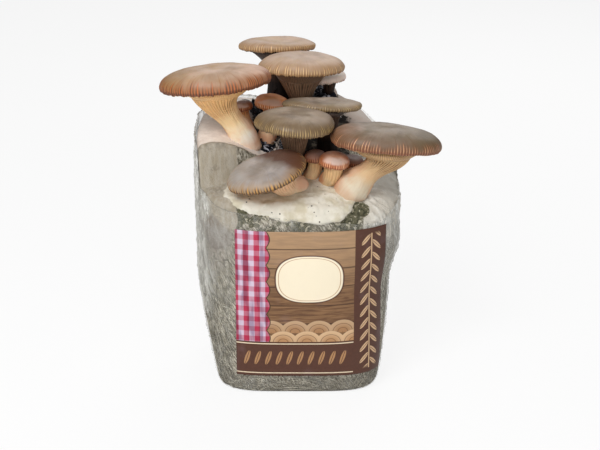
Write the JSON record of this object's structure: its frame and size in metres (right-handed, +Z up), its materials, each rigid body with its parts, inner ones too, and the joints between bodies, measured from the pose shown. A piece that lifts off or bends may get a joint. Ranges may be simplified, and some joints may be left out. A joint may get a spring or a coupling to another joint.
{
  "type": "mushroom grow kit",
  "caption": "Mushroom grow kit: a straw block in a clear bag with a wrap-round label, cut open at the top, with a cluster of brown-capped king oyster mushrooms growing from it.",
  "frame": {"origin": "the middle of the bag's flat bottom, on the surface that it stands on", "axes": "+Z up; -Y to the front, where the label is; +X to the right seen from the front"},
  "size_m": [0.2319, 0.1842, 0.2795],
  "materials": {
    "substrate": "matt, fibrous",
    "film": "clear, wrinkled",
    "label": "satin print",
    "cap_left_large": "satin",
    "stem_left_large": "matt, smooth",
    "cap_right_large": "satin",
    "stem_right_large": "matt, smooth",
    "cap_top_front": "satin",
    "stem_top_front": "matt, smooth",
    "cap_top_back": "satin",
    "stem_top_back": "matt, smooth",
    "cap_middle": "satin",
    "stem_middle": "matt, smooth",
    "cap_long_back": "satin",
    "stem_long_back": "matt, smooth",
    "cap_low_front": "satin",
    "stem_low_front": "matt, smooth",
    "cap_top_rear_small": "satin",
    "stem_top_rear_small": "matt, smooth",
    "cap_button_left": "satin",
    "stem_button_left": "matt, smooth",
    "cap_button_left_rear": "satin",
    "stem_button_left_rear": "matt, smooth",
    "cap_button_pair_left": "satin",
    "stem_button_pair_left": "matt, smooth",
    "cap_button_pair_right": "satin",
    "stem_button_pair_right": "matt, smooth",
    "cap_button_right_rear": "satin",
    "stem_button_right_rear": "matt, smooth"
  },
  "bodies": {
    "root": {"substrate_block": "substrate", "film_bag": "film", "label": "label", "cap_left_large": "cap_left_large", "stem_left_large": "stem_left_large", "cap_right_large": "cap_right_large", "stem_right_large": "stem_right_large", "cap_top_front": "cap_top_front", "stem_top_front": "stem_top_front", "cap_top_back": "cap_top_back", "stem_top_back": "stem_top_back", "cap_middle": "cap_middle", "stem_middle": "stem_middle", "cap_long_back": "cap_long_back", "stem_long_back": "stem_long_back", "cap_low_front": "cap_low_front", "stem_low_front": "stem_low_front", "cap_top_rear_small": "cap_top_rear_small", "stem_top_rear_small": "stem_top_rear_small", "cap_button_left": "cap_button_left", "stem_button_left": "stem_button_left", "cap_button_left_rear": "cap_button_left_rear", "stem_button_left_rear": "stem_button_left_rear", "cap_button_pair_left": "cap_button_pair_left", "stem_button_pair_left": "stem_button_pair_left", "cap_button_pair_right": "cap_button_pair_right", "stem_button_pair_right": "stem_button_pair_right", "cap_button_right_rear": "cap_button_right_rear", "stem_button_right_rear": "stem_button_right_rear"}
  },
  "joints": []
}
